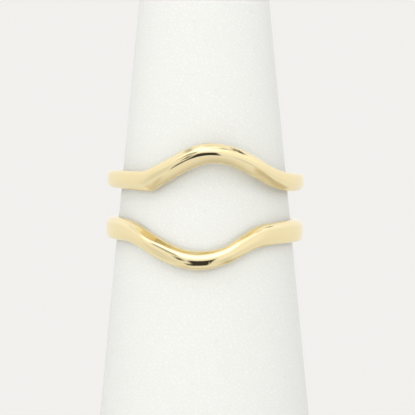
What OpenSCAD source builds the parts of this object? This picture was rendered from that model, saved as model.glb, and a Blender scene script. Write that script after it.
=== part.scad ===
// Ring guard enhancer on a tapered display cone, in millimetres.
// Two curved bands, one arched up and one dipped down, are soldered to two bars at the back.
// The gap between them takes the shank of a centre ring, and the eye at the front takes its head.
// The origin is the centre of the cone's base, +Z is up, and the arches face -Y.

/* [Finger hole] */
// Inner diameter of the guard (17.3 is US size 7)
bore_d = 17.3; // [15:0.1:21]
// Thickness of the plain shank, from the finger to the outside
wall = 1.0; // [0.8:0.05:1.6]

/* [Bands] */
// Clear height between the two bands at the sides, for the shank of a centre ring
channel_w = 2.8; // [1.6:0.1:4.5]
// Height of the upper band's plain shank
upper_shank_w = 1.7; // [1.3:0.05:2.6]
// Height of the upper band's bevel where it is widest
upper_bevel_w = 1.0; // [0.5:0.05:1.1]
// Height of the lower band's plain shank
lower_shank_w = 2.1; // [1.3:0.05:2.6]
// Height of the lower band's bevel where it is widest
lower_bevel_w = 0.65; // [0.5:0.05:1.1]
// Radial depth of the upper band's bevel where it is widest
upper_bevel_depth = 0.6; // [0.4:0.05:0.75]
// Radial depth of the lower band's steeper bevel where it is widest
lower_bevel_depth = 0.8; // [0.4:0.05:0.85]
// Radial drop of the shank's outer face from its middle to where its corners begin
shank_crown = 0.04; // [0.02:0.02:0.2]
// Radial drop of the upper arch's outer face from where it stands out furthest to its far edge
arch_crown = 0.26; // [0.1:0.02:0.4]
// The same drop on the dip, whose face stands out furthest below its middle
dip_crown = 0.1; // [0.04:0.02:0.2]
// Rounding of the outer corners
outer_round = 0.34; // [0.2:0.02:0.4]
// Softening of the inner edges, against the finger
inner_soft = 0.12; // [0.06:0.02:0.2]

/* [Arch] */
// How far the upper band's crest line rises from the shank to the top of its arch
arch_rise = 3.1; // [2:0.05:4.5]
// How far the lower band's crest line drops from the shank to the bottom of its dip
dip_fall = 2.95; // [2:0.05:4.5]
// Angle from the front at which both feet of the arch have run out into the shank
arch_reach = 75; // [60:1:90]
// Thickness of the band at the top of the arch
arch_wall = 1.2; // [1.1:0.05:1.7]
// How far the inside of the arch stands out from the finger hole
arch_flare = 0.28; // [0.1:0.02:0.6]

/* [Joining bars] */
// Width of each bar round the ring
bar_w = 1.7; // [1.2:0.1:3]
// Radial thickness of each bar
bar_t = 0.8; // [0.6:0.05:1.2]
// Radial depth to which each bar is let into the shanks
bar_bite = 0.4; // [0.2:0.05:0.6]
// How far each bar laps over a band's shank, up and down
bar_lap = 1.2; // [0.8:0.1:1.3]
// Angle between the middle of the back and each bar
bar_angle = 32; // [15:1:50]

/* [Display cone] */
// Diameter of the cone's base
base_d = 25; // [22:0.5:32]
// Diameter of the cone's tip, before its edge is rounded
tip_d = 10.4; // [6:0.2:13]
// Height of the cone
cone_h = 76; // [65:1:100]
// Rounding of the tip's edge
tip_round = 2.5; // [1:0.5:3]
// Rounding of the base's edge
base_round = 0.6; // [0.3:0.1:1.5]

/* [Seat] */
// Smallest clearance between the guard and the cone
seat_gap = 0.06; // [0.04:0.01:0.15]
// Lean of the seated guard, its right side lower, in degrees
guard_lean = 1; // [0:0.25:2]

/* [Hidden] */
$fn = 96;

bore_r = bore_d / 2;
base_r = base_d / 2;
tip_r = tip_d / 2;
taper = (base_r - tip_r) / cone_h;
channel_half = channel_w / 2;

// Sections along an arch, from its short foot on the left to its long foot on the right.
// The lower band is turned over, so its dip is built as an arch too.
// place: share of arch_reach, minus on the left
// The hand that filed the bands left them uneven, so each has three columns of its own:
// rise: share of the band's whole rise
// bevel: share of the band's bevel
// face: share of the shank's outer face
PLACE = 0;
UPPER = 1;
LOWER = 4;
// Which of a band's three columns it is
RISE = 0;
BEVEL = 1;
FACE = 2;
ARCH = [
    // place, upper band: rise, bevel, face, lower band: rise, bevel, face
    [-1.00, 0.00, 0.00, 1.00, 0.00, 0.00, 1.00],
    [-0.80, 0.00, 0.00, 1.02, 0.01, 0.00, 1.02],
    [-0.62, 0.00, 0.10, 1.04, 0.06, 0.00, 0.98],
    [-0.52, 0.01, 0.25, 1.03, 0.11, 0.05, 0.98],
    [-0.45, 0.14, 0.84, 0.96, 0.20, 0.20, 0.88],
    [-0.36, 0.32, 0.74, 0.91, 0.37, 0.25, 0.80],
    [-0.27, 0.53, 0.93, 0.85, 0.57, 0.10, 0.80],
    [-0.18, 0.74, 1.00, 0.79, 0.79, 0.05, 0.73],
    [-0.10, 0.89, 0.97, 0.77, 0.91, 0.05, 0.71],
    [-0.02, 0.98, 0.83, 0.75, 0.98, 0.15, 0.75],
    [ 0.06, 1.00, 0.69, 0.74, 1.00, 0.25, 0.75],
    [ 0.15, 0.96, 0.66, 0.74, 0.96, 0.20, 0.74],
    [ 0.25, 0.86, 0.76, 0.74, 0.84, 0.30, 0.77],
    [ 0.35, 0.70, 0.78, 0.74, 0.68, 0.45, 0.78],
    [ 0.45, 0.51, 0.66, 0.76, 0.53, 0.68, 0.71],
    [ 0.54, 0.31, 0.40, 0.84, 0.35, 0.60, 0.72],
    [ 0.64, 0.17, 0.28, 0.88, 0.17, 0.35, 0.80],
    [ 0.76, 0.05, 0.08, 0.97, 0.05, 0.12, 0.95],
    [ 0.88, 0.00, 0.00, 1.01, 0.01, 0.02, 1.01],
    [ 1.00, 0.00, 0.00, 1.00, 0.00, 0.00, 1.00]
];

// What each band has of its own.
// shank_w: height of its plain shank
// whole_rise: rise of its crest line on top of the arch
// crown: radial drop of its outer face on top of the arch
// bevel_w, bevel_depth: height and radial depth of its bevel where it is widest
// columns: first of its columns in the arch's table
// arch_top: share of the outer face at which it stands out furthest, on top of the arch
SHANK_W = 0;
WHOLE_RISE = 1;
CROWN = 2;
BEVEL_W = 3;
BEVEL_DEPTH = 4;
COLUMNS = 5;
ARCH_TOP = 6;
// shank_w, whole_rise, crown, bevel_w, bevel_depth, columns, arch_top
UPPER_BAND = [upper_shank_w, arch_rise, arch_crown, upper_bevel_w, upper_bevel_depth, UPPER, 0.20];
LOWER_BAND = [lower_shank_w, dip_fall, dip_crown, lower_bevel_w, lower_bevel_depth, LOWER, 0.60];

// Points across a band's outer face: share of the way from the crest to the far corner
FACE_STEPS = [0, 0.25, 0.5, 0.75, 1];
// Share of the shank's outer face at which it stands out furthest
SHANK_TOP = 0.5;
// Angle between neighbouring sections, over the arch and round the back
ARCH_STEP = 3;
BACK_STEP = 7.5;

// Row of the table in which a place lies
function row_at(place, i = 0) =
    i >= len(ARCH) - 2 || place < ARCH[i + 1][PLACE] ? i : row_at(place, i + 1);

// Slope of a column at a row, level at both ends
function slope_at(col, i) =
    i == 0 || i == len(ARCH) - 1 ? 0
    : (ARCH[i + 1][col] - ARCH[i - 1][col]) / (ARCH[i + 1][PLACE] - ARCH[i - 1][PLACE]);

// Value of a column at any place, on a smooth curve through the rows
function along(col, place) = let(
    p = min(1, max(-1, place)),
    i = row_at(p),
    w = ARCH[i + 1][PLACE] - ARCH[i][PLACE],
    t = (p - ARCH[i][PLACE]) / w,
    s = t * t * (3 - 2 * t))
    ARCH[i][col] * (1 - s) + ARCH[i + 1][col] * s
    + w * (slope_at(col, i) * t * (1 - t) * (1 - t) - slope_at(col, i + 1) * t * t * (1 - t));

// Angles of the sections, from one foot of the arch over the front and round the back
ARCH_COUNT = 2 * ceil(arch_reach / ARCH_STEP);
BACK_COUNT = 2 * ceil((180 - arch_reach) / BACK_STEP);
STATIONS = concat(
    [for (i = [0:ARCH_COUNT - 1]) arch_reach * (2 * i / ARCH_COUNT - 1)],
    [for (i = [0:BACK_COUNT - 1]) arch_reach + (360 - 2 * arch_reach) * i / BACK_COUNT]);

// Place on the arch of a station, between -1 and 1, and 1 all round the back
function place_of(angle) = min(1, angle / arch_reach);

// Value between its size on the shank and its size on top of the arch, or at the full bevel
function between(plain, full, share) = plain + (full - plain) * share;

// Section of a band as [radius, height] points, starting inside beside the opening
function section(place, own) = let(
    rise = along(own[COLUMNS] + RISE, place),
    filed = along(own[COLUMNS] + BEVEL, place),
    bevel = between(outer_round, own[BEVEL_W], filed),
    depth = between(outer_round, own[BEVEL_DEPTH], filed),
    face = (own[SHANK_W] - 2 * outer_round) * along(own[COLUMNS] + FACE, place),
    inner = bore_r + arch_flare * rise,
    outer = inner + between(wall, arch_wall, rise),
    crown = between(shank_crown, own[CROWN], rise),
    top = between(SHANK_TOP, own[ARCH_TOP], rise),
    bend = crown / ((1 - top) * (1 - top)),
    crest = channel_half + outer_round + own[WHOLE_RISE] * rise,
    near = crest - bevel,
    far = crest + face + outer_round,
    cut = outer_round * (1 - cos(45)))
    concat(
        [[inner, near + inner_soft], [inner + inner_soft, near]],
        [[outer - bend * top * top - depth, near]],
        [for (q = FACE_STEPS) [outer - bend * (q - top) * (q - top), crest + face * q]],
        [[outer - crown - cut, far - cut], [outer - crown - outer_round, far]],
        [[inner + inner_soft, far], [inner, far - inner_soft]]);

// One band: its sections joined into a closed ring, the front at -Y and angles to the right
module band(own) {
    rings = [for (a = STATIONS) section(place_of(a), own)];
    n = len(rings);
    m = len(rings[0]);
    points = [for (i = [0:n - 1]) for (p = rings[i])
        [p[0] * sin(STATIONS[i]), -p[0] * cos(STATIONS[i]), p[1]]];
    faces = [for (i = [0:n - 1]) for (j = [0:m - 1]) let(
        a = i * m + j,
        b = i * m + (j + 1) % m,
        c = (i + 1) % n * m + (j + 1) % m,
        d = (i + 1) % n * m + j)
        each [[a, b, c], [a, c, d]]];
    polyhedron(points, faces, convexity = 6);
}

// A plain strap with round ends, laid over the backs of both shanks
module joining_bar() {
    bar_h = channel_w + 2 * bar_lap;
    straight = bar_h - bar_w;
    translate([bore_r + wall - bar_bite, 0, 0]) rotate([0, 90, 0]) linear_extrude(bar_t) {
        square([straight, bar_w], center = true);
        for (side = [-1, 1]) translate([side * straight / 2, 0]) circle(d = bar_w);
    }
}

// Drop from the middle of the channel to the lower band's lower edge, at the sides
shank_drop = channel_half + lower_shank_w;
// The same at the bottom of the dip, where the arch has its full rise
dip_drop = channel_half + dip_fall
    + between(2 * outer_round, lower_shank_w, along(LOWER + FACE, 0));
// The lean lowers one side, where the cone is wider
lean_room = taper * bore_r * sin(guard_lean);

// Height on the cone at which a hole of this radius just clears it
function height_of(hole_r) = (base_r - hole_r + seat_gap + lean_room) / taper;

// The guard stands as low as both the shank and the dip allow
guard_z = max(shank_drop + height_of(bore_r), dip_drop + height_of(bore_r + arch_flare));

module ring_guard() {
    color("gold")
    translate([0, 0, guard_z - shank_drop]) rotate([0, guard_lean, 0]) translate([0, 0, shank_drop])
    union() {
        band(UPPER_BAND);
        rotate([0, 180, 0]) band(LOWER_BAND);
        for (side = [-1, 1]) rotate([0, 0, 90 + side * bar_angle]) joining_bar();
    }
}

// What a rounding takes off a corner: first and second are where it begins and ends
module corner_waste(corner, first, second, centre, round_r) {
    difference() {
        polygon([corner, first, centre, second]);
        translate(centre) circle(r = round_r);
    }
}

module display_cone() {
    lean = atan(taper);
    tip_run = tip_round / tan((90 + lean) / 2);
    base_run = base_round / tan((90 - lean) / 2);
    up_side = [-sin(lean), cos(lean)];
    tip = [tip_r, cone_h];
    foot = [base_r, 0];
    color("white") rotate_extrude() difference() {
        polygon([[0, 0], foot, tip, [0, cone_h]]);
        corner_waste(tip, tip - tip_run * up_side, tip - [tip_run, 0],
            tip - [tip_run, tip_round], tip_round);
        corner_waste(foot, foot - [base_run, 0], foot + base_run * up_side,
            foot + [-base_run, base_round], base_round);
    }
}

ring_guard();
display_cone();
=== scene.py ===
"""Dresses the ring guard enhancer on its display cone for a high-key studio picture.

The guard is two curved bands of polished yellow gold, soldered to two bars at the back. Its bands are
worked out again here from the same named sizes as the solid, with finely rounded edges, and fused to the
bars. The cone is a covered cone with a fine pebbled grain. The pieces' sizes are millimetres, as a
jeweller measures them, and every mesh is written in metres.
"""
import sys

import logging
import math
from dataclasses import dataclass
from enum import Enum
from typing import NamedTuple

import bpy
import numpy as np
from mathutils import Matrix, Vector


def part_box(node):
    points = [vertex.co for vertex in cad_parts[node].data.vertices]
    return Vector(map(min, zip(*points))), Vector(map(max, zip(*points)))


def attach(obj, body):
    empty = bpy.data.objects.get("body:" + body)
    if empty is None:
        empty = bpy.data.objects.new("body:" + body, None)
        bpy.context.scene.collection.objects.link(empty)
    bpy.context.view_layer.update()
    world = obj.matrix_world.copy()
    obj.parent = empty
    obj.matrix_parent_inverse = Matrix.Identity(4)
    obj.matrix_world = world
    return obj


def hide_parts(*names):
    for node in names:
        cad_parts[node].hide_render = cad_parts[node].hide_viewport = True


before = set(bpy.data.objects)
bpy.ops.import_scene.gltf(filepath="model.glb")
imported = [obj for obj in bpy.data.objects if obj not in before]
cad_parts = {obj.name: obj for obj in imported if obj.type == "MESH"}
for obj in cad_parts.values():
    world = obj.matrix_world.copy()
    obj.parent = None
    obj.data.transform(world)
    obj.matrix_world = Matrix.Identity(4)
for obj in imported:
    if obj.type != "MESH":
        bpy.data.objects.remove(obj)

LOG = logging.getLogger("ring_guard")
# A millimetre in metres
MM = 0.001
BODY = "root"
# Middle of the guard, at which the lights point
GUARD_MIDDLE = (0.0, 0.0, 0.045)
# Angle in degrees between faces past which a solder seam is shaded sharp
SEAM_ANGLE = 38
# Socket types of the shader groups
VECTOR, NUMBER = "NodeSocketVector", "NodeSocketFloat"
# Numbers of the Mix node's sockets for two colours and for their mixture
COLOUR_A, COLOUR_B, COLOUR_OUT = 6, 7, 2
# Inputs of the mask of one patch of the light tent, all in degrees
PATCH_INPUTS = (
    "Azimuth", "Elevation", "Centre azimuth", "Centre elevation", "Half width", "Half height", "Softness",
)


class Slot(Enum):
    """The record's material slots."""

    GOLD = "gold"
    LEATHERETTE = "leatherette"


class Node(Enum):
    """The solids that the pieces stand for."""

    GUARD = "ring_guard"
    CONE = "display_cone"


class Band(Enum):
    """The two bands, by what the names of their columns in the arch table begin with."""

    UPPER = "upper"
    LOWER = "lower"


class Wear(Enum):
    """How much of an edge each run of a section is, from 0 for flat to 1 for the crest."""

    FLAT = 0.0
    FACE = 0.1
    INNER_EDGE = 0.2
    RIM = 0.6
    BEVEL_FOOT = 0.7
    CREST = 1.0


class ArchRow(NamedTuple):
    """One section of both arches, from their short foot to their long foot."""

    place: float
    upper_rise: float
    upper_bevel: float
    upper_face: float
    lower_rise: float
    lower_bevel: float
    lower_face: float


class DomeRow(NamedTuple):
    """One ring of a bar's domed top: inset as a share of the half width, and drop as one of the dome."""

    inset: float
    drop: float


# From the bar's middle line outwards, up to where its edge begins to round
DOME = (DomeRow(1.0, 0.0), DomeRow(0.6, 0.3), DomeRow(0.45, 0.6))

# place is a share of the arch's reach, rise of its rise, bevel of the band's full bevel, and face of
# the shank's outer face
ARCH = (
    ArchRow(-1.00, 0.00, 0.00, 1.00, 0.00, 0.00, 1.00),
    ArchRow(-0.80, 0.00, 0.00, 1.02, 0.01, 0.00, 1.02),
    ArchRow(-0.62, 0.00, 0.10, 1.04, 0.06, 0.00, 0.98),
    ArchRow(-0.52, 0.01, 0.25, 1.03, 0.11, 0.05, 0.98),
    ArchRow(-0.45, 0.14, 0.84, 0.96, 0.20, 0.20, 0.88),
    ArchRow(-0.36, 0.32, 0.74, 0.91, 0.37, 0.25, 0.80),
    ArchRow(-0.27, 0.53, 0.93, 0.85, 0.57, 0.10, 0.80),
    ArchRow(-0.18, 0.74, 1.00, 0.79, 0.79, 0.05, 0.73),
    ArchRow(-0.10, 0.89, 0.97, 0.77, 0.91, 0.05, 0.71),
    ArchRow(-0.02, 0.98, 0.83, 0.75, 0.98, 0.15, 0.75),
    ArchRow(0.06, 1.00, 0.69, 0.74, 1.00, 0.25, 0.75),
    ArchRow(0.15, 0.96, 0.66, 0.74, 0.96, 0.20, 0.74),
    ArchRow(0.25, 0.86, 0.76, 0.74, 0.84, 0.30, 0.77),
    ArchRow(0.35, 0.70, 0.78, 0.74, 0.68, 0.45, 0.78),
    ArchRow(0.45, 0.51, 0.66, 0.76, 0.53, 0.68, 0.71),
    ArchRow(0.54, 0.31, 0.40, 0.84, 0.35, 0.60, 0.72),
    ArchRow(0.64, 0.17, 0.28, 0.88, 0.17, 0.35, 0.80),
    ArchRow(0.76, 0.05, 0.08, 0.97, 0.05, 0.12, 0.95),
    ArchRow(0.88, 0.00, 0.00, 1.01, 0.01, 0.02, 1.01),
    ArchRow(1.00, 0.00, 0.00, 1.00, 0.00, 0.00, 1.00),
)


def between(plain: np.ndarray | float, full: np.ndarray | float, share: np.ndarray | float) -> np.ndarray:
    """The value that lies this share of the way from plain to full."""
    return plain + (full - plain) * share


def inner_shares(count: int) -> np.ndarray:
    """This many even shares from 0 to 1, without the two ends, shape (1, count - 2)."""
    return np.linspace(0, 1, count)[None, 1:-1]


def smooth_step(low: float, high: float, value: np.ndarray) -> np.ndarray:
    """Rises smoothly from 0 at low to 1 at high, as 3t^2 - 2t^3."""
    t = np.clip((value - low) / (high - low), 0.0, 1.0)
    return t * t * (3.0 - 2.0 * t)


def through_rows(column: str, places: np.ndarray) -> np.ndarray:
    """Reads a column of the arch table at any places.

    Between two rows the value follows a cubic whose slope at each row is the central difference of its
    neighbours, and which is level at both ends of the table.

    Args:
        column: Name of the column.
        places: Places from -1 to 1, shares of the arch's reach.

    Returns:
        The column's value at each place.
    """
    x = np.array([row.place for row in ARCH])
    y = np.array([getattr(row, column) for row in ARCH])
    slope = np.zeros_like(y)
    slope[1:-1] = (y[2:] - y[:-2]) / (x[2:] - x[:-2])
    at = np.clip(places, x[0], x[-1])
    i = np.clip(np.searchsorted(x, at, side="right") - 1, 0, len(x) - 2)
    width = x[i + 1] - x[i]
    t = (at - x[i]) / width
    s = t * t * (3.0 - 2.0 * t)
    bend = slope[i] * t * (1.0 - t) ** 2 - slope[i + 1] * t * t * (1.0 - t)
    return y[i] * (1.0 - s) + y[i + 1] * s + width * bend


def rounded(start: np.ndarray, corner: np.ndarray, end: np.ndarray, steps: int) -> np.ndarray:
    """Rounds corners with parabolas that leave start towards the corner and reach end from it.

    Formula: (1-t)^2 start + 2t(1-t) corner + t^2 end, for t from 0 to 1.

    Args:
        start: Where each rounding begins, shape (n, 2).
        corner: The sharp corners, shape (n, 2).
        end: Where each rounding ends, shape (n, 2).
        steps: Number of points along each rounding.

    Returns:
        Points of shape (n, steps, 2).
    """
    t = np.linspace(0.0, 1.0, steps)[None, :, None]
    return (1 - t) ** 2 * start[:, None] + 2 * t * (1 - t) * corner[:, None] + t**2 * end[:, None]


def pairs(radius: np.ndarray, height: np.ndarray) -> np.ndarray:
    """Stacks radii and heights into points of shape (..., 2)."""
    return np.stack(np.broadcast_arrays(radius, height), axis=-1)


def grid(rows: int, columns: int) -> tuple[np.ndarray, np.ndarray]:
    """Row and column number of every cell of a grid, row by row, each of shape (rows * columns,)."""
    i, j = np.meshgrid(np.arange(rows), np.arange(columns), indexing="ij")
    return i.ravel(), j.ravel()


def write_mesh(
    name: str, points: np.ndarray, quads: np.ndarray, maps: dict[str, np.ndarray]
) -> bpy.types.Object:
    """Puts arrays into a smooth-shaded mesh object.

    Args:
        name: Name of the object and its mesh.
        points: Vertices in metres, shape (n, 3).
        quads: Vertex numbers, shape (m, 4), and a face whose last two are alike is a triangle.
        maps: UV maps, each a pair for every vertex of every face, shape (m, 4, 2).

    Returns:
        The new object, linked to the scene.
    """
    flat = quads[:, 2] == quads[:, 3]
    counts = np.where(flat, 3, 4)
    keep = np.ones(quads.shape, bool)
    keep[flat, 3] = False
    starts = np.concatenate([[0], np.cumsum(counts)[:-1]])
    mesh = bpy.data.meshes.new(name)
    mesh.vertices.add(len(points))
    mesh.vertices.foreach_set("co", points.astype(np.float32).ravel())
    mesh.loops.add(int(counts.sum()))
    mesh.loops.foreach_set("vertex_index", quads[keep].astype(np.int32))
    mesh.polygons.add(len(quads))
    mesh.polygons.foreach_set("loop_start", starts.astype(np.int32))
    mesh.polygons.foreach_set("loop_total", counts.astype(np.int32))
    for title, values in maps.items():
        layer = mesh.uv_layers.new(name=title)
        layer.uv.foreach_set("vector", values[keep].astype(np.float32).ravel())
    mesh.update(calc_edges=True)
    mesh.validate()
    mesh.shade_smooth()
    piece = bpy.data.objects.new(name, mesh)
    bpy.context.scene.collection.objects.link(piece)
    return piece


def ring_of_sections(
    name: str, points: np.ndarray, along: np.ndarray, across: np.ndarray, wear: np.ndarray
) -> bpy.types.Object:
    """Joins closed sections round a ring into a closed skin.

    Args:
        name: Name of the object.
        points: Points of shape (sections, points of a section, 3), in metres.
        along: Length along the ring at each section and at the seam again, shape (sections + 1,).
        across: Length round the section at each of its points and at its start again,
            shape (sections + 1, points of a section + 1).
        wear: How much each point is an edge, from 0 to 1, shape (sections, points of a section).

    Returns:
        The skin, with the UV maps "run" (length along, length across) and "wear" (edge, 0).
    """
    n, m = points.shape[:2]
    i, j = grid(n, m)
    i2, j2 = (i + 1) % n, (j + 1) % m
    quads = np.stack([i * m + j, i * m + j2, i2 * m + j2, i2 * m + j], axis=1)
    corners_i = np.stack([i, i, i + 1, i + 1], axis=1)
    corners_j = np.stack([j, j + 1, j + 1, j], axis=1)
    run = np.stack([along[corners_i], across[corners_i, corners_j]], axis=-1)
    edge = wear[corners_i % n, corners_j % m]
    worn = np.stack([edge, np.zeros_like(edge)], axis=-1)
    return write_mesh(name, points.reshape(-1, 3), quads, {"run": run, "wear": worn})


def lathe(name: str, outline: np.ndarray, sides: int) -> bpy.types.Object:
    """Turns an outline about the upright axis into a skin.

    Formula: a point (radius, height) at turn a lies at (radius cos a, radius sin a, height).
    An end of the outline that lies on the axis is closed with a fan, and another end stays open.

    Args:
        name: Name of the object.
        outline: Points of shape (n, 2) as (radius, height) in metres, with the outside on their right.
        sides: Number of points round the axis.

    Returns:
        The skin.
    """
    first, last = outline[0, 0] == 0, outline[-1, 0] == 0
    rings = outline[outline[:, 0] > 0]
    turn = np.linspace(0, 2 * np.pi, sides, endpoint=False)
    x, y = rings[:, :1] * np.cos(turn), rings[:, :1] * np.sin(turn)
    points = np.stack(np.broadcast_arrays(x, y, rings[:, 1:]), axis=-1).reshape(-1, 3)
    n, m = len(rings), sides
    i, j = grid(n - 1, m)
    j2 = (j + 1) % m
    faces = [np.stack([i * m + j, i * m + j2, (i + 1) * m + j2, (i + 1) * m + j], axis=1)]
    j, j2 = j[:m], j2[:m]
    if first:
        faces.append(np.stack([np.full(m, len(points)), j2, j, j], axis=1))
        points = np.concatenate([points, [[0.0, 0.0, outline[0, 1]]]])
    if last:
        rim = (n - 1) * m
        faces.append(np.stack([np.full(m, len(points)), rim + j, rim + j2, rim + j2], axis=1))
        points = np.concatenate([points, [[0.0, 0.0, outline[-1, 1]]]])
    return write_mesh(name, points, np.concatenate(faces), {})


def fuse(name: str, parts: list[bpy.types.Object]) -> bpy.types.Object:
    """Unites closed skins into one body and removes the parts.

    Args:
        name: Name of the fused object.
        parts: Closed skins that overlap.

    Returns:
        One closed object at the origin, with sharp shading only at the solder seams.
    """
    body = parts[0]
    for part in parts[1:]:
        step = body.modifiers.new("solder", "BOOLEAN")
        step.operation, step.solver, step.object = "UNION", "EXACT", part
    finished = body.evaluated_get(bpy.context.evaluated_depsgraph_get())
    mesh = bpy.data.meshes.new_from_object(finished)
    mesh.name = name
    for part in parts:
        old = part.data
        bpy.data.objects.remove(part)
        bpy.data.meshes.remove(old)
    mesh.shade_smooth()
    mesh.set_sharp_from_angle(angle=math.radians(SEAM_ANGLE))
    piece = bpy.data.objects.new(name, mesh)
    bpy.context.scene.collection.objects.link(piece)
    return piece


class Sheet:
    """A node tree with short calls for adding and joining nodes."""

    def __init__(self, tree: bpy.types.NodeTree) -> None:
        """Takes hold of the tree.

        Args:
            tree: The tree to add nodes to.
        """
        self.tree = tree

    def add(self, kind: str, **settings: object) -> bpy.types.Node:
        """Adds a node.

        Args:
            kind: The node's type name.
            **settings: Properties to set on it.

        Returns:
            The node.
        """
        node = self.tree.nodes.new(kind)
        for title, value in settings.items():
            setattr(node, title, value)
        return node

    def join(self, source: bpy.types.NodeSocket, node: bpy.types.Node, socket: str | int) -> None:
        """Leads an output into an input of a node."""
        self.tree.links.new(source, node.inputs[socket])

    def feed(self, node: bpy.types.Node, socket: str | int, value: object) -> None:
        """Sets an input to a fixed value, or leads an output into it.

        Args:
            node: The node.
            socket: Name or number of its input.
            value: A number, a colour, a vector or an output.
        """
        if isinstance(value, bpy.types.NodeSocket):
            self.join(value, node, socket)
        else:
            node.inputs[socket].default_value = value

    def math(self, operation: str, *values: object, clamp: bool = False) -> bpy.types.NodeSocket:
        """Adds a Math node and returns its output.

        Args:
            operation: The node's operation.
            *values: Its inputs, numbers or outputs.
            clamp: Whether the result is kept between 0 and 1.

        Returns:
            The result.
        """
        node = self.add("ShaderNodeMath", operation=operation, use_clamp=clamp)
        for i, value in enumerate(values):
            self.feed(node, i, value)
        return node.outputs[0]

    def vector(self, operation: str, *values: object, scale: object = None) -> bpy.types.NodeSocket:
        """Adds a Vector Math node and returns its output, which is a number for LENGTH.

        Args:
            operation: The node's operation.
            *values: Its vectors, fixed or outputs.
            scale: Its factor, which only SCALE has.

        Returns:
            The result.
        """
        node = self.add("ShaderNodeVectorMath", operation=operation)
        for i, value in enumerate(values):
            self.feed(node, i, value)
        if scale is not None:
            self.feed(node, "Scale", scale)
        return node.outputs["Value" if operation == "LENGTH" else "Vector"]

    def map_range(
        self, value: object, low: object, high: object, to_low: object = 0.0, to_high: object = 1.0,
        smooth: bool = False,
    ) -> bpy.types.NodeSocket:
        """Maps a range to another, clamped.

        Args:
            value: The value to map.
            low: Where the source range begins.
            high: Where it ends.
            to_low: The result at low.
            to_high: The result at high.
            smooth: Whether the way between is a smooth step.

        Returns:
            The mapped value.
        """
        node = self.add("ShaderNodeMapRange", interpolation_type="SMOOTHSTEP" if smooth else "LINEAR")
        for title, given in zip(("Value", "From Min", "From Max", "To Min", "To Max"),
                                (value, low, high, to_low, to_high)):
            self.feed(node, title, given)
        return node.outputs["Result"]

    def mix_colour(self, share: object, first: object, second: object) -> bpy.types.NodeSocket:
        """Mixes two colours.

        Args:
            share: How much of the second there is.
            first: The first colour.
            second: The second colour.

        Returns:
            The mixed colour.
        """
        node = self.add("ShaderNodeMix", data_type="RGBA")
        for socket, value in (("Factor", share), (COLOUR_A, first), (COLOUR_B, second)):
            self.feed(node, socket, value)
        return node.outputs[COLOUR_OUT]

    def noise(
        self, vector: object, scale: object, detail: float = 2.0, rough: float = 0.5, output: str = "Fac"
    ) -> bpy.types.NodeSocket:
        """Adds a noise texture and returns its value, about 0.5 on average.

        Args:
            vector: The coordinates.
            scale: Its scale.
            detail: Its number of octaves.
            rough: How strong each finer octave is.
            output: "Fac" for one value, or "Color" for three at a time.

        Returns:
            The noise.
        """
        node = self.add("ShaderNodeTexNoise")
        inputs = {"Vector": vector, "Scale": scale, "Detail": detail, "Roughness": rough}
        for title, value in inputs.items():
            self.feed(node, title, value)
        return node.outputs[output]

    def bump(self, height: bpy.types.NodeSocket, strength: float = 1.0) -> bpy.types.NodeSocket:
        """Adds a Bump node and returns its normal.

        Args:
            height: The height in metres.
            strength: How much of it shows.

        Returns:
            The normal.
        """
        node = self.add("ShaderNodeBump")
        for title, value in (("Height", height), ("Distance", 1.0), ("Strength", strength)):
            self.feed(node, title, value)
        return node.outputs[0]

    def mix_shader(
        self, share: bpy.types.NodeSocket, first: bpy.types.NodeSocket, second: bpy.types.NodeSocket
    ) -> bpy.types.NodeSocket:
        """Mixes two shaders.

        Args:
            share: How much of the second there is.
            first: The first shader.
            second: The second shader.

        Returns:
            The mixed shader.
        """
        node = self.add("ShaderNodeMixShader")
        for i, source in enumerate((share, first, second)):
            self.join(source, node, i)
        return node.outputs[0]

    def place(self, group: bpy.types.NodeTree, **given: object) -> bpy.types.Node:
        """Places a shader group in the tree.

        Args:
            group: The group.
            **given: Its inputs by name.

        Returns:
            The group node.
        """
        node = self.add("ShaderNodeGroup", node_tree=group)
        for title, value in given.items():
            self.feed(node, title, value)
        return node

    def show(self, surface: bpy.types.NodeSocket, output: str = "ShaderNodeOutputMaterial") -> None:
        """Leads a shader to an output of the tree."""
        self.join(surface, self.add(output), "Surface")


def new_group(name: str, inputs: dict[str, tuple[str, object]], outputs: list[str]) -> tuple[
    bpy.types.NodeTree, Sheet, bpy.types.Node, bpy.types.Node
]:
    """Makes an empty shader group.

    Args:
        name: Name of the group.
        inputs: Each input's socket type and default.
        outputs: Names of its outputs, all plain values.

    Returns:
        The group, its sheet, its input node and its output node.
    """
    group = bpy.data.node_groups.new(name, "ShaderNodeTree")
    for title, (kind, start) in inputs.items():
        socket = group.interface.new_socket(name=title, in_out="INPUT", socket_type=kind)
        if start is not None:
            socket.default_value = start
    for title in outputs:
        group.interface.new_socket(name=title, in_out="OUTPUT", socket_type=NUMBER)
    sheet = Sheet(group)
    return group, sheet, sheet.add("NodeGroupInput"), sheet.add("NodeGroupOutput")


def soft_variation_group() -> bpy.types.NodeTree:
    """A slow unevenness of a surface, from handling and light dust, for the pieces and the floor.

    Returns:
        A group from coordinates, patch size and spread to a value round 1.
    """
    inputs = {"Vector": (VECTOR, None), "Patch": (NUMBER, 0.004), "Spread": (NUMBER, 0.1)}
    group, s, given, out = new_group("soft_variation", inputs, ["Value"])
    scale = s.math("DIVIDE", 1.0, given.outputs["Patch"])
    cloud = s.noise(given.outputs["Vector"], scale, detail=3.0, rough=0.55)
    centred = s.math("SUBTRACT", cloud, 0.5)
    spread = s.math("MULTIPLY", centred, s.math("MULTIPLY", given.outputs["Spread"], 2.0))
    s.join(s.math("ADD", spread, 1.0), out, "Value")
    return group


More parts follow.
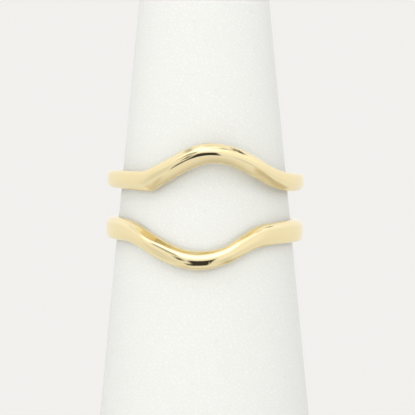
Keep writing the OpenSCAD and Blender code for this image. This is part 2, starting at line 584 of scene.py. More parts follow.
def fine_specks_group() -> bpy.types.NodeTree:
    """Sparse fine specks: pits in the gold, dust on the covering.

    Returns:
        A group from coordinates, speck spacing and share to a mask.
    """
    inputs = {"Vector": (VECTOR, None), "Spacing": (NUMBER, 0.0004), "Share": (NUMBER, 0.2)}
    group, s, given, out = new_group("fine_specks", inputs, ["Mask"])
    # distances from a speck's middle, in spacings, at which it has faded out and is full
    faded, full = 0.28, 0.12
    cells = s.add("ShaderNodeTexVoronoi", feature="F1")
    s.join(given.outputs["Vector"], cells, "Vector")
    s.join(s.math("DIVIDE", 1.0, given.outputs["Spacing"]), cells, "Scale")
    near = s.map_range(cells.outputs["Distance"], faded, full, smooth=True)
    pick = s.add("ShaderNodeSeparateColor")
    s.join(cells.outputs["Color"], pick, "Color")
    chosen = s.math("LESS_THAN", pick.outputs[0], given.outputs["Share"])
    s.join(s.math("MULTIPLY", near, chosen), out, "Mask")
    return group


def pebble_grain_group() -> bpy.types.NodeTree:
    """Pressed pebble grain: small domes of uneven size with narrow valleys between.

    Returns:
        A group from coordinates and pebble size to a height and a valley mask.
    """
    inputs = {"Vector": (VECTOR, None), "Pebble": (NUMBER, 0.0004)}
    group, s, given, out = new_group("pebble_grain", inputs, ["Height", "Valley"])
    # the bending noise's scale beside the pebbles', and its reach and the width of a dome's slope in pebbles
    bend_scale, bend_reach, slope = 0.45, 0.9, 0.35
    # how much finer than a pebble the crumb on the domes is, and its share of the height
    crumb_scale, crumb_share = 3.0, 0.25
    scale = s.math("DIVIDE", 1.0, given.outputs["Pebble"])
    warp = s.noise(given.outputs["Vector"], s.math("MULTIPLY", scale, bend_scale), output="Color")
    reach = s.vector("SCALE", (bend_reach,) * 3, scale=given.outputs["Pebble"])
    bent = s.vector("MULTIPLY_ADD", warp, reach, given.outputs["Vector"])
    cells = s.add("ShaderNodeTexVoronoi", feature="DISTANCE_TO_EDGE")
    s.join(bent, cells, "Vector")
    s.join(scale, cells, "Scale")
    dome = s.map_range(cells.outputs["Distance"], 0.0, slope, smooth=True)
    crumb = s.noise(bent, s.math("MULTIPLY", scale, crumb_scale), detail=3.0, rough=0.6)
    height = s.math("MULTIPLY", dome, 1.0 - crumb_share)
    s.join(s.math("ADD", height, s.math("MULTIPLY", crumb, crumb_share)), out, "Height")
    s.join(s.math("SUBTRACT", 1.0, dome), out, "Valley")
    return group


class Effects:
    """The shader groups of the finishes, each built once and placed with each finish's own values."""

    def __init__(self) -> None:
        """Builds the groups."""
        self.soft_variation = soft_variation_group()
        self.fine_specks = fine_specks_group()
        self.pebble_grain = pebble_grain_group()


def new_material(name: str) -> tuple[bpy.types.Material, Sheet, bpy.types.Node]:
    """Makes a material with one Principled shader, still to be led to its output.

    Args:
        name: Name of the material.

    Returns:
        The material, its sheet and the shader node.
    """
    material = bpy.data.materials.new(name)
    material.use_nodes = True
    material.node_tree.nodes.clear()
    sheet = Sheet(material.node_tree)
    return material, sheet, sheet.add("ShaderNodeBsdfPrincipled")


@dataclass(frozen=True)
class PolishedGold:
    """Polished yellow gold: hand-polishing lines along the bands, brighter worn edges, a few pits.

    Colours are linear, and lengths are in metres.
    """

    colour: tuple[float, float, float, float] = (0.94, 0.81, 0.51, 1.0)
    deep_colour: tuple[float, float, float, float] = (0.92, 0.78, 0.46, 1.0)
    roughness: float = 0.085
    line_spacing: float = 0.00005
    line_depth: float = 0.0000012
    line_stretch: float = 0.03
    # the noise from which a line begins to show, and at which it shows in full
    line_range: tuple[float, float] = (0.35, 0.75)
    line_rough: float = 0.03
    ripple: float = 0.0016
    ripple_depth: float = 0.000012
    cloud_patch: float = 0.0025
    cloud_spread: float = 0.35
    pit_spacing: float = 0.0005
    pit_share: float = 0.16
    pit_rough: float = 0.12
    pit_depth: float = 0.0000024
    worn_shine: float = 0.02

    def make(self, effects: Effects) -> bpy.types.Material:
        """Builds the material.

        Args:
            effects: The shared groups.

        Returns:
            The material.
        """
        material, s, shader = new_material("polished_gold")
        shader.inputs["Metallic"].default_value = 1.0
        place = s.add("ShaderNodeTexCoord").outputs["Object"]
        run = s.add("ShaderNodeUVMap", uv_map="run").outputs[0]
        edge = s.add("ShaderNodeSeparateXYZ")
        s.join(s.add("ShaderNodeUVMap", uv_map="wear").outputs[0], edge, 0)
        stretch = s.add("ShaderNodeMapping", vector_type="POINT")
        s.join(run, stretch, "Vector")
        stretch.inputs["Scale"].default_value = (self.line_stretch, 1.0, 1.0)
        lines = s.noise(stretch.outputs[0], 1.0 / self.line_spacing, detail=3.0, rough=0.65)
        cloud = s.place(
            effects.soft_variation, Vector=place, Patch=self.cloud_patch, Spread=self.cloud_spread)
        pits = s.place(
            effects.fine_specks, Vector=place, Spacing=self.pit_spacing, Share=self.pit_share)
        worn = s.math("MULTIPLY", edge.outputs[0], cloud.outputs[0], clamp=True)
        s.join(s.mix_colour(worn, self.deep_colour, self.colour), shader, "Base Color")
        streak = s.map_range(lines, *self.line_range, 0.0, self.line_rough)
        rough = s.math("ADD", s.math("MULTIPLY", cloud.outputs[0], self.roughness), streak)
        rough = s.math("ADD", rough, s.math("MULTIPLY", pits.outputs[0], self.pit_rough))
        s.join(s.math("SUBTRACT", rough, s.math("MULTIPLY", worn, self.worn_shine)), shader, "Roughness")
        wave = s.noise(place, 1.0 / self.ripple, detail=1.0, rough=0.4)
        height = s.math("MULTIPLY", wave, self.ripple_depth)
        height = s.math("ADD", height, s.math("MULTIPLY", lines, self.line_depth))
        height = s.math("SUBTRACT", height, s.math("MULTIPLY", pits.outputs[0], self.pit_depth))
        s.join(s.bump(height), shader, "Normal")
        s.show(shader.outputs[0])
        return material


@dataclass(frozen=True)
class WhiteLeatherette:
    """White covering with a fine pebbled grain. Colours are linear, and lengths are in metres."""

    colour: tuple[float, float, float, float] = (0.705, 0.715, 0.69, 1.0)
    valley_colour: tuple[float, float, float, float] = (0.66, 0.665, 0.64, 1.0)
    dust_colour: tuple[float, float, float, float] = (0.62, 0.615, 0.59, 1.0)
    roughness: float = 0.52
    shine: float = 0.4
    pebble: float = 0.00036
    grain_depth: float = 0.000012
    grain_strength: float = 0.8
    valley_share: float = 0.6
    valley_rough: float = 0.1
    cloud_patch: float = 0.006
    cloud_spread: float = 0.12
    dust_spacing: float = 0.0011
    dust_share: float = 0.10
    dust_cover: float = 0.25

    def make(self, effects: Effects) -> bpy.types.Material:
        """Builds the material.

        Args:
            effects: The shared groups.

        Returns:
            The material.
        """
        material, s, shader = new_material("white_leatherette")
        shader.inputs["Specular IOR Level"].default_value = self.shine
        place = s.add("ShaderNodeTexCoord").outputs["Object"]
        grain = s.place(effects.pebble_grain, Vector=place, Pebble=self.pebble)
        cloud = s.place(
            effects.soft_variation, Vector=place, Patch=self.cloud_patch, Spread=self.cloud_spread)
        dust = s.place(
            effects.fine_specks, Vector=place, Spacing=self.dust_spacing, Share=self.dust_share)
        uneven = s.math("MULTIPLY", cloud.outputs[0], self.valley_share)
        valley = s.math("MULTIPLY", grain.outputs["Valley"], uneven, clamp=True)
        tone = s.mix_colour(valley, self.colour, self.valley_colour)
        tone = s.mix_colour(s.math("MULTIPLY", dust.outputs[0], self.dust_cover), tone, self.dust_colour)
        s.join(tone, shader, "Base Color")
        rough = s.math("MULTIPLY", cloud.outputs[0], self.roughness)
        matt = s.math("MULTIPLY", grain.outputs["Valley"], self.valley_rough)
        s.join(s.math("ADD", rough, matt), shader, "Roughness")
        height = s.math("MULTIPLY", grain.outputs["Height"], self.grain_depth)
        s.join(s.bump(height, self.grain_strength), shader, "Normal")
        s.show(shader.outputs[0])
        return material


class BandSizes(NamedTuple):
    """What one band has of its own. Lengths are in millimetres, and arch_top is a share of its face."""

    name: str
    shank_w: float
    bevel_w: float
    bevel_depth: float
    bevel_swell: float
    rise: float
    crown: float
    arch_top: float
    band: Band
    turned: bool


@dataclass
class RingGuard:
    """The guard: two bands turned half a turn to each other, soldered to two bars at the back.

    Angles are in degrees from the front, plus to the right. The sizes are the solid's own, but for the
    depth of the lower band's full bevel, which is 0.92 here and 0.8 in the solid. It is cut inwards, and
    mirrors the upper band in the gold. A size whose name ends in count is a number of points.
    """

    bore_d: float = 17.3
    wall: float = 1.0
    channel_w: float = 2.8
    upper: BandSizes = BandSizes("upper_band", 1.7, 1.0, 0.6, 0.03, 3.1, 0.26, 0.20, Band.UPPER, False)
    lower: BandSizes = BandSizes("lower_band", 2.1, 0.65, 0.92, -0.02, 2.95, 0.1, 0.60, Band.LOWER, True)
    shank_crown: float = 0.04
    outer_round: float = 0.34
    inner_soft: float = 0.12
    arch_reach: float = 75.0
    arch_wall: float = 1.2
    arch_flare: float = 0.28
    shank_top: float = 0.5
    bar_w: float = 1.7
    bar_t: float = 0.8
    bar_bite: float = 0.4
    bar_lap: float = 1.2
    bar_angle: float = 32.0
    bar_round: float = 0.22
    bar_dome: float = 0.02
    solder_reach: float = 0.2
    solder_sink: float = 0.06
    # where the solder begins and where it is full, past the channel's edge
    solder_ends: tuple[float, float] = (-0.25, 0.05)
    root_sink: float = 0.3
    root_inset: float = 0.1
    guard_lean: float = 1.0
    arch_step: float = 0.5
    back_step: float = 1.5
    # the bell that softens the table: its width in degrees, its reach in widths and its samples
    soft_window: float = 2.0
    soft_reach: float = 2.0
    soft_count: int = 9
    # how far from a corner its rounding begins: at a bevel's foot, at a crest, and at both on the shank
    near_soft: float = 0.12
    crest_soft: float = 0.11
    shank_soft: float = 0.19
    bar_wear: float = 0.1
    edge_count: int = 5
    near_count: int = 4
    foot_count: int = 6
    bevel_count: int = 11
    crest_count: int = 7
    face_count: int = 17
    rim_count: int = 10
    far_count: int = 5
    bore_count: int = 6
    bar_end_count: int = 25
    bar_side_count: int = 41
    bar_edge_count: int = 7
    solder_count: int = 9

    def angles(self) -> np.ndarray:
        """Works out the angles of the sections, fine over the arch and coarser round the back.

        Returns:
            Angles in degrees, from -reach up to 360 - reach.
        """
        reach = self.arch_reach
        front = np.arange(-reach, reach, self.arch_step)
        back = np.linspace(reach, 360 - reach, round((360 - 2 * reach) / self.back_step), endpoint=False)
        return np.concatenate([front, back])

    def read(self, band: Band, column: str, angles: np.ndarray) -> np.ndarray:
        """Reads a column of the table at angles, softened so that its curvature has no jumps.

        Formula: the mean of the curve through the rows over a narrow bell of angles.

        Args:
            band: The band.
            column: Name of its column: rise, bevel or face.
            angles: Angles from -reach to 360 - reach.

        Returns:
            The value at each angle.
        """
        offsets = np.linspace(-self.soft_reach, self.soft_reach, self.soft_count)
        weights = np.exp(-offsets**2)
        spread = angles[:, None] + offsets * self.soft_window
        wrapped = np.where(spread > 180.0, spread - 360.0, spread)
        places = np.clip(wrapped / self.arch_reach, -1.0, 1.0)
        return (through_rows(f"{band.value}_{column}", places) * weights).sum(1) / weights.sum()

    def sections(self, angles: np.ndarray, own: BandSizes) -> tuple[np.ndarray, np.ndarray]:
        """Works out a band's sections as (radius, height) points.

        The outer face is a parabola across the band that stands out furthest near the crest. The bevel
        falls from the crest to the opening, slightly swelled or hollow, and every corner is a parabola.

        Args:
            angles: Angles of the sections.
            own: The band's own sizes.

        Returns:
            Points of shape (sections, points, 2), and how much each is an edge, from 0 to 1.
        """
        rise, filed = self.read(own.band, "rise", angles), self.read(own.band, "bevel", angles)
        soft = self.inner_soft
        bevel_h = between(self.outer_round, own.bevel_w, filed)
        depth = between(self.outer_round, own.bevel_depth, filed)
        face = (own.shank_w - 2 * self.outer_round) * self.read(own.band, "face", angles)
        inner = self.bore_d / 2 + self.arch_flare * rise
        outer = inner + between(self.wall, self.arch_wall, rise)
        crown = between(self.shank_crown, own.crown, rise)
        top = between(self.shank_top, own.arch_top, rise)
        bend = crown / (1 - top) ** 2
        crest = self.channel_w / 2 + self.outer_round + own.rise * rise
        near, far = crest - bevel_h, crest + face + self.outer_round

        foot = pairs(outer - bend * top**2 - depth, near)
        ridge = pairs(outer - bend * top**2, crest)
        slope = ridge - foot
        length = np.linalg.norm(slope, axis=1)
        out = np.stack([slope[:, 1], -slope[:, 0]], axis=1) / length[:, None]

        def on_bevel(t: np.ndarray) -> np.ndarray:
            """Points on the bevel: the straight line from foot to ridge, swelled by 4t(1-t)."""
            swell = own.bevel_swell * filed[:, None] * 4 * t * (1 - t)
            return foot[:, None] + slope[:, None] * t[..., None] + out[:, None] * swell[..., None]

        def on_face(q: np.ndarray) -> np.ndarray:
            """Points on the outer face: outer - bend (q - top)^2, at height crest + face q."""
            drop = bend[:, None] * (q - top[:, None]) ** 2
            return pairs(outer[:, None] - drop, crest[:, None] + face[:, None] * q)

        near_soft = between(self.shank_soft, self.near_soft, filed)
        crest_soft = between(self.shank_soft, self.crest_soft, filed)
        low_t, high_t = near_soft / length, 1 - crest_soft / length
        q_in = crest_soft / face
        steep = 2 * bend * (1 - top) / face
        near_edge, far_edge = pairs(inner + soft, near), pairs(inner + soft, far)
        bore_near, bore_far = pairs(inner, near + soft), pairs(inner, far - soft)
        bevel_foot = pairs(foot[:, 0] - near_soft, near)
        bevel_low, bevel_high = (on_bevel(t[:, None])[:, 0] for t in (low_t, high_t))
        face_low, face_high = on_face(q_in[:, None])[:, 0], on_face(np.ones((1, 1)))[:, 0]
        shoulder = pairs(outer - crown - steep * self.outer_round, far)
        rim = pairs(outer - crown - self.outer_round, far)

        def straight(start: np.ndarray, end: np.ndarray, count: int) -> np.ndarray:
            """Points between start and end, without both, shape (sections, count - 2, 2)."""
            return between(start[:, None], end[:, None], inner_shares(count)[..., None])

        runs = [
            (rounded(bore_near, pairs(inner, near), near_edge, self.edge_count), Wear.INNER_EDGE),
            (straight(near_edge, bevel_foot, self.near_count), Wear.FLAT),
            (rounded(bevel_foot, foot, bevel_low, self.foot_count), Wear.BEVEL_FOOT),
            (on_bevel(between(low_t[:, None], high_t[:, None], inner_shares(self.bevel_count))), Wear.FACE),
            (rounded(bevel_high, ridge, face_low, self.crest_count), Wear.CREST),
            (on_face(between(q_in[:, None], 1.0, inner_shares(self.face_count))), Wear.FACE),
            (rounded(face_high, shoulder, rim, self.rim_count), Wear.RIM),
            (straight(rim, far_edge, self.far_count), Wear.FLAT),
            (rounded(far_edge, pairs(inner, far), bore_far, self.edge_count), Wear.INNER_EDGE),
            (straight(bore_far, bore_near, self.bore_count), Wear.FLAT),
        ]
        wear = np.concatenate([np.full(points.shape[:2], share.value) for points, share in runs], axis=1)
        return np.concatenate([points for points, _ in runs], axis=1), wear

    def band(self, own: BandSizes) -> bpy.types.Object:
        """Builds one band.

        Formula: a section point (radius, height) at angle a lies at (radius sin a, -radius cos a, height),
        and the lower band is turned half a turn about the line to the front.

        Args:
            own: The band's own sizes.

        Returns:
            The band's closed skin.
        """
        angles = self.angles()
        section, wear = self.sections(angles, own)
        a = np.radians(angles)[:, None]
        radius, height = section[..., 0], section[..., 1]
        points = np.stack([radius * np.sin(a), -radius * np.cos(a), height], axis=-1)
        if own.turned:
            points = points * np.array([-1.0, 1.0, -1.0])
        loop = np.concatenate([section, section[:, :1]], axis=1)
        lengths = np.linalg.norm(np.diff(loop, axis=1), axis=2)
        across = np.concatenate([np.zeros((len(angles), 1)), lengths.cumsum(1)], axis=1)
        across = np.concatenate([across, across[:1]])
        along = np.radians(np.append(angles, angles[0] + 360)) * (self.bore_d / 2 + self.wall)
        return ring_of_sections(own.name, self.stand(points), along * MM, across * MM, wear)

    def bar(self, name: str, side: int) -> bpy.types.Object:
        """Builds one joining bar with its solder fillets.

        Formula: a profile of (inset, radius) pairs is carried round the outline of a strap with round
        ends. The lower part of its side wall spreads outwards where the shank is beneath, as solder does.

        Args:
            name: Name of the skin.
            side: -1 for the left bar, 1 for the right one, seen from the back.

        Returns:
            The bar's closed skin.
        """
        half_w = self.bar_w / 2
        straight = (self.channel_w + 2 * self.bar_lap - self.bar_w) / 2
        shank = self.bore_d / 2 + self.wall
        foot = shank - self.bar_bite
        top, soft = foot + self.bar_t, self.bar_round
        shoulder = top - self.bar_dome
        dome_inset, dome_drop = np.array(DOME).T
        turn = np.linspace(0, 0.5 * np.pi, self.bar_edge_count)
        spread = np.linspace(0, 1, self.solder_count)[1:]
        inset = np.concatenate([
            half_w * dome_inset, soft * (1 - np.sin(turn)), -self.solder_reach * spread**2,
            [-self.solder_reach, self.root_inset, half_w],
        ])
        fillet = between(shoulder - soft, shank - self.solder_sink, spread)
        radius = np.concatenate([
            top - self.bar_dome * dome_drop, shoulder - soft * (1 - np.cos(turn)), fillet,
            [shank - self.root_sink, foot, foot],
        ])
        end = np.linspace(0, np.pi, self.bar_end_count)
        rise = between(-straight, straight, inner_shares(self.bar_side_count)[0])
        flat, full = np.zeros_like(rise), np.ones_like(rise)
        side_x = np.concatenate([np.cos(end), -full, -np.cos(end), full])
        side_z = np.concatenate([np.sin(end), flat, -np.sin(end), flat])
        level = np.full_like(end, straight)
        base_z = np.concatenate([level, rise[::-1], -level, rise])
        starts, fills = (self.channel_w / 2 + part for part in self.solder_ends)
        on_shank = smooth_step(starts, fills, np.abs(base_z + side_z * half_w))
        pulled = np.where(inset[:, None] < 0, inset[:, None] * on_shank[None], inset[:, None])
        offset = half_w - pulled
        across = offset * side_x[None]
        height = base_z[None] + offset * side_z[None]
        turned = np.radians(180 + side * self.bar_angle) + across / shank
        x, y = radius[:, None] * np.sin(turned), -radius[:, None] * np.cos(turned)
        points = np.stack([x, y, height], axis=-1)
        return self.closed_rings(name, self.stand(points), inset, across)

    def closed_rings(
        self, name: str, points: np.ndarray, inset: np.ndarray, across: np.ndarray
    ) -> bpy.types.Object:
        """Joins nested rings into a skin that closes on the bar's middle line at both ends.

        The wear falls off as a bell over the distance from the outline.

        Args:
            name: Name of the object.
            points: Points of shape (rings, points of a ring, 3), in metres.
            inset: Inset of each ring from the outline, in millimetres.
            across: Distance of each point across the bar, in millimetres.

        Returns:
            The closed skin, with the two UV maps of the bands.
        """
        n, m = points.shape[:2]
        i, j = grid(n - 1, m)
        j2 = (j + 1) % m
        quads = np.stack([i * m + j, (i + 1) * m + j, (i + 1) * m + j2, i * m + j2], axis=1)
        corners_i, corners_j = np.stack([i, i + 1, i + 1, i], axis=1), np.stack([j, j, j2, j2], axis=1)
        height = points[corners_i, corners_j, 2]
        run = np.stack([height, across[corners_i, corners_j] * MM], axis=-1)
        edge = np.exp(-((inset[corners_i] / self.bar_wear) ** 2))
        worn = np.stack([edge, np.zeros_like(edge)], axis=-1)
        return write_mesh(name, points.reshape(-1, 3), quads, {"run": run, "wear": worn})

    def stand(self, points: np.ndarray) -> np.ndarray:
        """Leans the guard as it sits on the cone, about the middle of its lowest shank edge.

        Args:
            points: Points in the guard's own frame, in millimetres, whose last axis is x, y, z.

        Returns:
            Points in metres, still to be lifted to the solid's height.
        """
        drop = self.channel_w / 2 + self.lower.shank_w
        lean = math.radians(self.guard_lean)
        x, y, z = points[..., 0], points[..., 1], points[..., 2] + drop
        x, z = x * math.cos(lean) + z * math.sin(lean), z * math.cos(lean) - x * math.sin(lean)
        leaned = np.stack([x, y, z - drop], axis=-1)
        return leaned * MM

    def build(self, gold: bpy.types.Material) -> bpy.types.Object:
        """Builds the bands and bars, fuses them and lifts the guard to the solid's height.

        Args:
            gold: The finish.

        Returns:
            The finished guard.
        """
        parts = [
            self.band(self.upper),
            self.band(self.lower),
            self.bar("left_bar", -1),
            self.bar("right_bar", 1),
        ]
        guard = fuse("polished_ring_guard", parts)
        low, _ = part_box(Node.GUARD.value)
        points = np.empty(len(guard.data.vertices) * 3, np.float32)
        guard.data.vertices.foreach_get("co", points)
        height = points[2::3]
        height += low.z - height.min()
        guard.data.vertices.foreach_set("co", points)
        guard.data.update()
        return dress(guard, gold, Node.GUARD)


@dataclass
class DisplayCone:
    """The tapered cone in its covering, with a rounded foot and tip, in the solid's own sizes."""

    base_d: float = 25.0
    tip_d: float = 10.4
    tip_round: float = 2.5
    base_round: float = 0.6
    sides: int = 256
    side_rows: int = 120
    foot_rows: int = 12
    tip_rows: int = 20
    base_rings: int = 8
    lid_rings: int = 6

    def outline(self, height: float) -> np.ndarray:
        """Works out the cone's outline from the middle of its base to the middle of its tip.

        Formula: straight base, an arc that touches base and side, the straight side, an arc that touches
        side and tip, and the flat tip.

        Args:
            height: Height of the cone.

        Returns:
            Points of shape (n, 2) as (radius, height), in millimetres.
        """
        base_r, tip_r = self.base_d / 2, self.tip_d / 2
        lean = math.atan((base_r - tip_r) / height)
        base_run = self.base_round / math.tan((math.pi / 2 - lean) / 2)
        tip_run = self.tip_round / math.tan((math.pi / 2 + lean) / 2)
        foot_turn = np.linspace(-math.pi / 2, lean, self.foot_rows)
        foot = pairs(base_r - base_run + self.base_round * np.cos(foot_turn),
                     self.base_round + self.base_round * np.sin(foot_turn))
        tip_turn = np.linspace(lean, math.pi / 2, self.tip_rows)
        tip = pairs(tip_r - tip_run + self.tip_round * np.cos(tip_turn),
                    height - self.tip_round + self.tip_round * np.sin(tip_turn))
        side = between(foot[-1], tip[0], inner_shares(self.side_rows).T)
        base = between(np.zeros(2), foot[0], np.linspace(0, 1, self.base_rings)[:-1, None])
        lid = between(tip[-1], np.array([0.0, height]), np.linspace(0, 1, self.lid_rings)[1:, None])
        return np.concatenate([base, foot, side, tip, lid])

    def build(self, covering: bpy.types.Material) -> bpy.types.Object:
        """Turns the outline about the upright axis into a closed skin.

        Args:
            covering: The finish.

        Returns:
            The finished cone.
        """
        low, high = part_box(Node.CONE.value)
        outline = self.outline((high.z - low.z) / MM)
        cone = lathe("covered_display_cone", outline * MM, self.sides)
        return dress(cone, covering, Node.CONE)


def dress(piece: bpy.types.Object, finish: bpy.types.Material, node: Node) -> bpy.types.Object:
    """Gives a piece its finish and ties it to the frame.

    Args:
        piece: The piece.
        finish: Its material.
        node: The solid that it stands for.

    Returns:
        The piece.
    """
    piece.data.materials.clear()
    piece.data.materials.append(finish)
    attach(piece, BODY)
    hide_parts(node.value)
    return piece


class Direction(NamedTuple):
    """A direction from the guard, in degrees: azimuth from the front, plus to the right, and elevation."""

    azimuth: float
    elevation: float


class Tone(NamedTuple):
    """A linear colour of light, in which 1 is white paper."""

    red: float
    green: float
    blue: float


def grey(level: float) -> Tone:
    """A neutral tone of this level."""
    return Tone(level, level, level)


class TentLevel(NamedTuple):
    """The tent's tone at an elevation in degrees."""

    elevation: float
    tone: Tone


@dataclass(frozen=True)
class TentPatch:
    """A darker, lighter or tinted patch of the light tent, in degrees."""

    name: str
    centre: Direction
    half_width: float
    half_height: float
    softness: float
    tone: Tone


class SoftLight(NamedTuple):
    """A square soft light that points at the guard. Metres and watts."""

    name: str
    place: tuple[float, float, float]
    side: float
    watts: float


@dataclass
class Studio:
    """A plain pale floor in a light tent, with one large soft light above and three small ones near.

    The tent is the world: white cloth all round, brighter towards the front, with windows, darker papers
    and beams, and the dark opening that the picture is taken through. Later patches lie over earlier
    ones. The lights only brighten what isn't polished. Lengths are in metres.
    """

    floor_rings: tuple[float, ...] = (3.0, 1.5, 0.8, 0.4, 0.2, 0.1, 0.05, 0.02, 0.0)
    floor_sides: int = 96
    fade: tuple[float, float] = (0.08, 0.24)
    backdrop: tuple[float, float, float, float] = (0.888, 0.875, 0.855, 1.0)
    paper: tuple[float, float, float] = (0.74, 0.73, 0.71)
    paper_rough: float = 0.7
    paper_shine: float = 0.2
    paper_patch: float = 0.05
    paper_spread: float = 0.03
    strength: float = 0.95
    brightest: float = 2.5
    wobble: float = 0.06
    wobble_scale: float = 5.0
    levels: tuple[TentLevel, ...] = (
        TentLevel(-90, Tone(0.68, 0.67, 0.65)),
        TentLevel(-70, Tone(0.69, 0.68, 0.66)),
        TentLevel(-62, Tone(0.88, 0.87, 0.86)),
        TentLevel(-56, Tone(0.97, 0.96, 0.95)),
        TentLevel(-42, Tone(0.92, 0.92, 0.90)),
        TentLevel(-15, Tone(0.93, 0.93, 0.91)),
        TentLevel(4, Tone(1.02, 1.02, 1.02)),
        TentLevel(40, Tone(1.10, 1.10, 1.10)),
        TentLevel(70, Tone(1.04, 1.04, 1.03)),
        TentLevel(90, Tone(0.98, 0.97, 0.95)),
    )
    patches: tuple[TentPatch, ...] = (
        TentPatch("front cloth", Direction(34, 4), 42, 14, 8, grey(1.08)),
        TentPatch("left cloth", Direction(-64, -14), 17, 20, 10, grey(0.85)),
        TentPatch("front paper", Direction(44, -30), 10, 12, 8, grey(0.80)),
        TentPatch("left paper", Direction(-62, -59), 21, 6, 6, Tone(0.74, 0.70, 0.62)),
        TentPatch("right paper", Direction(100, -50), 46, 11, 6, Tone(0.67, 0.62, 0.51)),
        TentPatch("paper edge", Direction(80, -50), 10, 3, 3, Tone(0.50, 0.45, 0.36)),
        TentPatch("front window", Direction(-6, 54), 62, 20, 8, grey(1.85)),
        TentPatch("side window", Direction(66, 38), 42, 13, 8, grey(1.2)),
        TentPatch("left beam", Direction(-94, 57), 24, 4, 3, grey(0.62)),
        TentPatch("top beam", Direction(42, 62), 34, 4, 3, grey(0.5)),
        TentPatch("right beam", Direction(98, 57), 10, 3, 2, grey(0.34)),
        TentPatch("right corner", Direction(103, 49), 9, 5, 3, grey(0.12)),
        TentPatch("side shade", Direction(-42, 35), 17, 11, 5, grey(0.52)),
        TentPatch("camera shoulder", Direction(-30, 5), 6, 11, 3, grey(0.17)),
        TentPatch("camera body", Direction(-23, -36), 9, 9, 3, grey(0.15)),
        TentPatch("camera opening", Direction(-2, -15), 17, 27, 3, grey(0.05)),
    )
    lights: tuple[SoftLight, ...] = (
        SoftLight("left_top_light", (-0.35, -0.35, 0.55), 0.35, 0.25),
        SoftLight("front_light", (-0.036, -0.15, 0.070), 0.08, 0.068),
        SoftLight("left_side_light", (-0.20, -0.05, 0.080), 0.08, 0.0290),
        SoftLight("right_side_light", (0.15, -0.045, 0.085), 0.08, 0.0275),
    )
    light_colour: tuple[float, float, float] = (1.0, 0.99, 0.97)

    def patch_group(self) -> bpy.types.NodeTree:
        """Makes the mask of one patch of the tent.

        Returns:
            A group from azimuth, elevation and the patch's sizes to a mask.
        """
        group, s, given, out = new_group("tent_patch", dict.fromkeys(PATCH_INPUTS, (NUMBER, 0.0)), ["Mask"])
        masks = []
        for axis, size in (("azimuth", "Half width"), ("elevation", "Half height")):
            given_axis, centre = given.outputs[axis.capitalize()], given.outputs[f"Centre {axis}"]
            away = s.math("ABSOLUTE", s.math("SUBTRACT", given_axis, centre))
            outer = s.math("ADD", given.outputs[size], given.outputs["Softness"])
            inner = s.math("SUBTRACT", given.outputs[size], given.outputs["Softness"])
            masks.append(s.map_range(away, outer, inner, smooth=True))
        s.join(s.math("MULTIPLY", *masks), out, "Mask")
        return group

    def level_tone(self, s: Sheet, elevation: bpy.types.NodeSocket) -> bpy.types.NodeSocket:
        """Reads the tent's tone at an elevation, straight between its levels.

        Args:
            s: The world's sheet.
            elevation: The elevation in degrees.

        Returns:
            The tone.
        """
        ramp = s.add("ShaderNodeValToRGB")
        s.join(s.map_range(elevation, -90.0, 90.0), ramp, "Fac")
        stops = ramp.color_ramp.elements
        for i, level in enumerate(self.levels):
            place = (level.elevation + 90.0) / 180.0
            stop = stops[i] if i < len(stops) else stops.new(place)
            stop.position = place
            stop.color = (*(part / self.brightest for part in level.tone), 1.0)
        return s.vector("SCALE", ramp.outputs["Color"], scale=self.brightest)

    def tent(self) -> None:
        """Makes the world: the tent for light and reflections, plain paper for what the camera sees."""
        world = bpy.data.worlds.new("light_tent")
        world.use_nodes = True
        world.node_tree.nodes.clear()
        bpy.context.scene.world = world
        s = Sheet(world.node_tree)
        towards = s.add("ShaderNodeTexCoord").outputs["Generated"]
        wobble = s.noise(towards, self.wobble_scale, output="Color")
        shaken = s.vector("MULTIPLY_ADD", wobble, (self.wobble,) * 3, towards)
        moved = s.vector("SUBTRACT", shaken, (0.5 * self.wobble,) * 3)
        axis = s.add("ShaderNodeSeparateXYZ")
        s.join(s.vector("NORMALIZE", moved), axis, 0)
        front = s.math("MULTIPLY", axis.outputs[1], -1.0)
        azimuth = s.math("DEGREES", s.math("ARCTAN2", axis.outputs[0], front))
        elevation = s.math("DEGREES", s.math("ARCSINE", axis.outputs[2]))
        group = self.patch_group()
        tone = self.level_tone(s, elevation)
        for patch in self.patches:
            sizes = (*patch.centre, patch.half_width, patch.half_height, patch.softness)
            mask = s.place(group, **dict(zip(PATCH_INPUTS, (azimuth, elevation, *sizes))))
            mask.label = patch.name
            tone = s.mix_colour(mask.outputs[0], tone, (*patch.tone, 1.0))
        cloth = s.add("ShaderNodeBackground")
        s.join(tone, cloth, "Color")
        cloth.inputs["Strength"].default_value = self.strength
        paper = s.add("ShaderNodeBackground")
        paper.inputs["Color"].default_value = self.backdrop
        camera = s.add("ShaderNodeLightPath").outputs["Is Camera Ray"]
        s.show(s.mix_shader(camera, cloth.outputs[0], paper.outputs[0]), "ShaderNodeOutputWorld")

    def floor(self, effects: Effects) -> bpy.types.Object:
        """Makes the floor: a round sheet whose outer part fades into the backdrop's tone.

        Args:
            effects: The shared groups.

        Returns:
            The floor.
        """
        outline = pairs(np.array(self.floor_rings), 0.0)
        floor = lathe("pale_floor", outline, self.floor_sides)
        material, s, shader = new_material("pale_paper")
        place = s.add("ShaderNodeTexCoord").outputs["Object"]
        cloud = s.place(
            effects.soft_variation, Vector=place, Patch=self.paper_patch, Spread=self.paper_spread)
        s.join(s.vector("SCALE", self.paper, scale=cloud.outputs[0]), shader, "Base Color")
        shader.inputs["Roughness"].default_value = self.paper_rough
        shader.inputs["Specular IOR Level"].default_value = self.paper_shine
        fade = s.map_range(s.vector("LENGTH", place), *self.fade, smooth=True)
        glow = s.add("ShaderNodeEmission")
        glow.inputs["Color"].default_value = self.backdrop
        s.show(s.mix_shader(fade, shader.outputs[0], glow.outputs[0]))
        floor.data.materials.append(material)
        floor.visible_glossy = False
        return floor

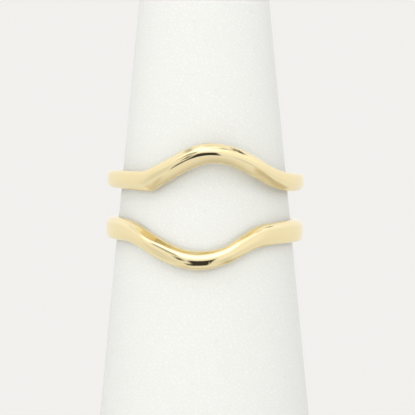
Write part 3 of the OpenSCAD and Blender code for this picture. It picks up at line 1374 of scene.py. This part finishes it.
    def hang(self, light: SoftLight) -> None:
        """Hangs a light where only what it lights shows it, not the gold's reflections.

        Args:
            light: The light.
        """
        data = bpy.data.lights.new(light.name, "AREA")
        data.size, data.energy = light.side, light.watts
        data.color = self.light_colour
        lamp = bpy.data.objects.new(light.name, data)
        lamp.visible_camera = lamp.visible_glossy = False
        lamp.location = light.place
        lamp.rotation_mode = "QUATERNION"
        lamp.rotation_quaternion = (Vector(GUARD_MIDDLE) - Vector(light.place)).to_track_quat("-Z", "Y")
        bpy.context.scene.collection.objects.link(lamp)

    def build(self, effects: Effects) -> bpy.types.Object:
        """Sets up the tent, the floor and the lights.

        Args:
            effects: The shared groups.

        Returns:
            The floor.
        """
        self.tent()
        for light in self.lights:
            self.hang(light)
        return self.floor(effects)


@dataclass(frozen=True)
class PhotoCamera:
    """The camera at the picture's viewing angle: a long lens, slightly above the guard. Millimetres."""

    target: tuple[float, float, float] = (0.307, 0.0, 43.94)
    distance: float = 280.0
    elevation: float = 1.6
    picture: int = 415
    focal_pixels: float = 2860.0
    sensor: float = 36.0

    def build(self) -> bpy.types.Object:
        """Places the camera and makes it the scene's own.

        Returns:
            The camera.
        """
        data = bpy.data.cameras.new("picture_camera")
        data.sensor_width = self.sensor
        data.lens = self.focal_pixels * self.sensor / self.picture
        camera = bpy.data.objects.new("picture_camera", data)
        lift = math.radians(self.elevation)
        target = Vector(self.target) * MM
        back = Vector((0.0, -math.cos(lift), math.sin(lift)))
        camera.location = target + back * self.distance * MM
        camera.rotation_mode = "QUATERNION"
        camera.rotation_quaternion = (-back).to_track_quat("-Z", "Y")
        bpy.context.scene.collection.objects.link(camera)
        bpy.context.scene.camera = camera
        return camera


def report(piece: bpy.types.Object) -> None:
    """Logs a piece's name, size and number of triangles.

    Args:
        piece: The piece.
    """
    piece.data.calc_loop_triangles()
    size = " x ".join(f"{side / MM:.1f}" for side in piece.dimensions)
    LOG.info("%s: %s mm, %d triangles", piece.name, size, len(piece.data.loop_triangles))


def main() -> None:
    """Builds the camera, the studio and the pieces, in order."""
    logging.basicConfig(level=logging.INFO, format="%(message)s", stream=sys.stdout)
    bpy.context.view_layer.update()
    bpy.context.scene.view_settings.view_transform = "Standard"
    effects = Effects()
    PhotoCamera().build()
    report(Studio().build(effects))
    report(RingGuard().build(PolishedGold().make(effects)))
    report(DisplayCone().build(WhiteLeatherette().make(effects)))


if __name__ == "__main__":
    main()
